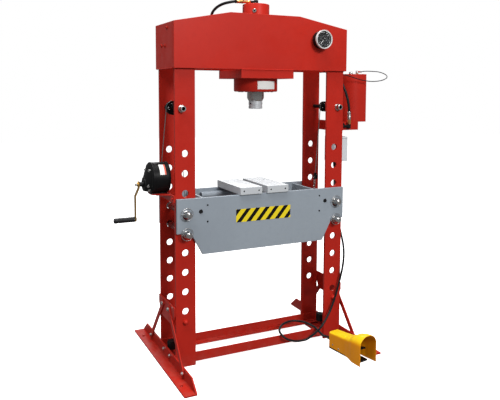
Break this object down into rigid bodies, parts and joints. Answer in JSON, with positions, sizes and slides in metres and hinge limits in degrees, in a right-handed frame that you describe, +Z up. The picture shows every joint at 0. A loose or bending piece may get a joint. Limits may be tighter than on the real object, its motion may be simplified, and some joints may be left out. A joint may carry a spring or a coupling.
{
  "type": "hydraulic shop press",
  "caption": "Floor-standing hydraulic shop press: plate gantry frame, ram in the head, pinned bed raised by a hand winch on a wire rope, side-mounted pump and hooded foot pedal.",
  "frame": {"origin": "on the floor, under the middle of the whole outline without the hoses", "axes": "+Z up, -Y to the front where the gauge is, +X towards the pump side"},
  "size_m": [1.635, 0.9425, 1.881],
  "materials": {
    "red_paint": "satin",
    "bed_paint": "satin",
    "light_steel": "satin",
    "bright_steel": "polished",
    "black_paint": "satin",
    "zinc_brass": "plated",
    "black_rubber": "matt",
    "wire_rope": "galvanised",
    "pedal_plastic": "gloss",
    "box_plastic": "matt",
    "white_paint": "satin"
  },
  "bodies": {
    "frame": {"upright_front_left": "red_paint", "upright_front_right": "red_paint", "upright_rear_left": "red_paint", "upright_rear_right": "red_paint", "head_front_plate": "red_paint", "head_rear_plate": "red_paint", "head_end_left": "red_paint", "head_end_right": "red_paint", "cylinder_block": "red_paint", "cylinder_barrel": "red_paint", "cylinder_collar": "red_paint", "cylinder_elbow": "black_paint", "foot_left": "red_paint", "foot_right": "red_paint", "gusset_left": "red_paint", "gusset_right": "red_paint", "brace_front_left": "red_paint", "brace_front_right": "red_paint", "brace_rear_left": "red_paint", "brace_rear_right": "red_paint", "tie_front": "red_paint", "tie_rear": "red_paint", "winch_shelf": "red_paint", "winch_housing": "black_paint", "pulley_axle_left": "bright_steel", "pulley_axle_right": "bright_steel", "rope_anchor_right": "black_paint", "winch_rope": "wire_rope", "bed_rope": "wire_rope", "gauge_case": "black_paint", "gauge_line": "black_rubber", "pump_tank": "red_paint", "pump_base": "red_paint", "pump_elbow": "black_paint", "control_box": "box_plastic", "pressure_hose": "black_rubber", "pedal_hose": "black_rubber", "pedal_base": "black_paint", "pedal_hood": "pedal_plastic"},
    "ram": {"ram_rod": "bright_steel", "ram_foot": "light_steel"},
    "bed": {"bed_front_plate": "bed_paint", "bed_rear_plate": "bed_paint", "bed_spacer_left": "bed_paint", "bed_spacer_right": "bed_paint", "bed_pipe": "bed_paint"},
    "sheave_left": {"bed_sheave_left": "bright_steel"},
    "sheave_right": {"bed_sheave_right": "bright_steel"},
    "pin_upper_left": {"pin_upper_left": "bright_steel"},
    "pin_upper_right": {"pin_upper_right": "bright_steel"},
    "pin_lower_left": {"pin_lower_left": "bright_steel"},
    "pin_lower_right": {"pin_lower_right": "bright_steel"},
    "arbor_left": {"arbor_plate_left": "light_steel"},
    "arbor_right": {"arbor_plate_right": "light_steel"},
    "crank": {"crank": "zinc_brass"},
    "grip": {"crank_grip": "black_rubber"},
    "drum": {"winch_drum": "light_steel"},
    "pulley": {"pulley_left": "black_paint"},
    "needle": {"gauge_needle": "white_paint"},
    "pedal": {"pedal_lever": "black_rubber"}
  },
  "joints": [
    {"name": "ram_slide", "type": "slide", "parent": "frame", "child": "ram", "axis": [0, 0, -1], "range_m": [0, 0.25]},
    {"name": "bed_lift", "type": "slide", "parent": "frame", "child": "bed", "axis": [0, 0, 1], "range_m": [0, 0.012], "deforming": ["bed_rope"]},
    {"name": "pin_upper_left_draw", "type": "slide", "parent": "frame", "child": "pin_upper_left", "axis": [0, -1, 0], "range_m": [0, 0.345]},
    {"name": "pin_upper_right_draw", "type": "slide", "parent": "frame", "child": "pin_upper_right", "axis": [0, -1, 0], "range_m": [0, 0.345]},
    {"name": "pin_lower_left_draw", "type": "slide", "parent": "frame", "child": "pin_lower_left", "axis": [0, -1, 0], "range_m": [0, 0.345]},
    {"name": "pin_lower_right_draw", "type": "slide", "parent": "frame", "child": "pin_lower_right", "axis": [0, -1, 0], "range_m": [0, 0.345]},
    {"name": "arbor_left_slide", "type": "slide", "parent": "bed", "child": "arbor_left", "axis": [-1, 0, 0], "range_m": [-0.015, 0.18]},
    {"name": "arbor_right_slide", "type": "slide", "parent": "bed", "child": "arbor_right", "axis": [1, 0, 0], "range_m": [-0.015, 0.18]},
    {"name": "sheave_left_spin", "type": "hinge", "parent": "bed", "child": "sheave_left", "pos_m": [-0.3493, 0.0413, 0.795], "axis": [0, 1, 0], "range_deg": [0, 30]},
    {"name": "sheave_right_spin", "type": "hinge", "parent": "bed", "child": "sheave_right", "pos_m": [0.3827, 0.0413, 0.795], "axis": [0, 1, 0], "range_deg": [0, 30]},
    {"name": "crank_turn", "type": "hinge", "parent": "frame", "child": "crank", "pos_m": [-0.5833, 0.0413, 0.929], "axis": [1, 0, 0], "range_deg": [0, 152]},
    {"name": "grip_spin", "type": "hinge", "parent": "crank", "child": "grip", "pos_m": [-0.6833, 0.0413, 0.754], "axis": [1, 0, 0], "continuous": true},
    {"name": "drum_turn", "type": "hinge", "parent": "frame", "child": "drum", "pos_m": [-0.5233, 0.0413, 0.96], "axis": [-1, 0, 0], "range_deg": [0, 31]},
    {"name": "pulley_left_spin", "type": "hinge", "parent": "frame", "child": "pulley", "pos_m": [-0.4383, 0.0413, 1.31], "axis": [0, -1, 0], "range_deg": [0, 42]},
    {"name": "needle_turn", "type": "hinge", "parent": "frame", "child": "needle", "pos_m": [0.3373, -0.1517, 1.671], "axis": [0, 1, 0], "range_deg": [0, 270], "stiffness_Nm_per_rad": 0.002},
    {"name": "pedal_press", "type": "hinge", "parent": "frame", "child": "pedal", "pos_m": [0.40603, -0.28787, 0.03], "axis": [0.9903, 0.1392, 0], "range_deg": [0, 10], "stiffness_Nm_per_rad": 4, "springref_deg": -9.74}
  ],
  "couplings": [
    {"joint": "crank_turn", "follows": "bed_lift", "rad_per_m": 219.8},
    {"joint": "drum_turn", "follows": "bed_lift", "rad_per_m": 43.96},
    {"joint": "pulley_left_spin", "follows": "bed_lift", "rad_per_m": 59.7},
    {"joint": "sheave_left_spin", "follows": "bed_lift", "rad_per_m": 42.55},
    {"joint": "sheave_right_spin", "follows": "bed_lift", "rad_per_m": 42.55}
  ]
}
